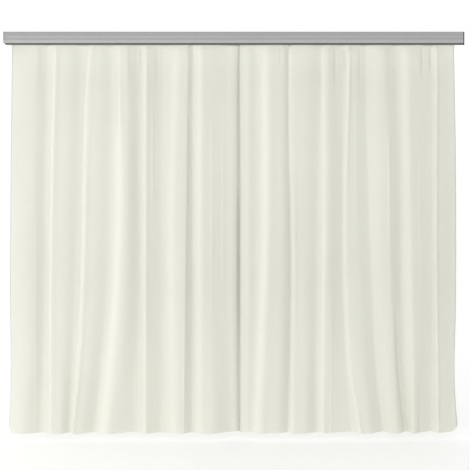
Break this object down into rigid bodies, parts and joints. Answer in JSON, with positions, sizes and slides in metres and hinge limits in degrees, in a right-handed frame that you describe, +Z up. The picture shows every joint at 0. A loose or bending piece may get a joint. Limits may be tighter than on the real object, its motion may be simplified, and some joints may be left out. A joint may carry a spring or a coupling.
{
  "type": "pair of curtains on a fascia rail",
  "caption": "Pair of sheer ivory curtains in loose uneven folds, hung by gliders from a flat ceiling rail with a brushed fascia.",
  "frame": {"origin": "middle of the rail's ceiling face, above the slot in which the gliders run", "axes": "+X along the rail to the right as seen from the room, +Y towards the window, +Z up towards the ceiling; the curtains face -Y"},
  "size_m": [2.8, 0.131, 2.4573],
  "materials": {
    "curtain_cloth": "sheer ivory cloth, slightly green, matt",
    "heading_webbing": "off-white woven tape",
    "glider_plastic": "white, satin",
    "track_plastic": "white, satin",
    "fascia_metal": "brushed lengthways",
    "dark_edging": "dark grey, satin"
  },
  "bodies": {
    "root": {"track": "track_plastic", "fascia": "fascia_metal", "lower_lip": "dark_edging", "end_cap_left": "fascia_metal", "end_cap_right": "dark_edging", "panel_left": "curtain_cloth", "panel_right": "curtain_cloth", "heading_tape_left": "heading_webbing", "heading_tape_right": "heading_webbing", "glider_left_1": "glider_plastic", "glider_left_2": "glider_plastic", "glider_left_3": "glider_plastic", "glider_left_4": "glider_plastic", "glider_left_5": "glider_plastic", "glider_left_6": "glider_plastic", "glider_left_7": "glider_plastic", "glider_left_8": "glider_plastic", "glider_right_1": "glider_plastic", "glider_right_2": "glider_plastic", "glider_right_3": "glider_plastic", "glider_right_4": "glider_plastic", "glider_right_5": "glider_plastic", "glider_right_6": "glider_plastic", "glider_right_7": "glider_plastic", "glider_right_8": "glider_plastic"}
  },
  "joints": []
}
